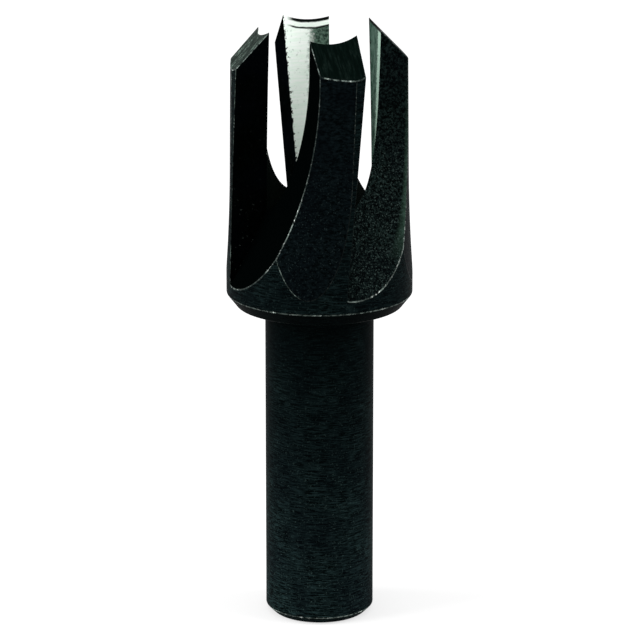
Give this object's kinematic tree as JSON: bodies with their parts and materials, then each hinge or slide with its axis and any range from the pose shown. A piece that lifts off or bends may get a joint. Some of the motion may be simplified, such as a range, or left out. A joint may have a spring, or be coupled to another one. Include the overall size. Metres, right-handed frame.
{
  "type": "plug cutter",
  "caption": "Tapered plug cutter: fluted head with relieved bevelled prongs around a tapered bore, on a plain round shank.",
  "frame": {"origin": "centre of the flat shank end, on the tool axis", "axes": "+Z along the tool axis, from the shank end to the cutting tips; +X and +Y lie square to the flat leading faces of the prongs, which lean 5 degrees"},
  "size_m": [0.0172, 0.0172, 0.0558],
  "materials": {
    "plug_cutter": "black oxide over turned and milled steel, bright in the bore and on worn edges"
  },
  "bodies": {
    "root": {"plug_cutter": "plug_cutter"}
  },
  "joints": []
}
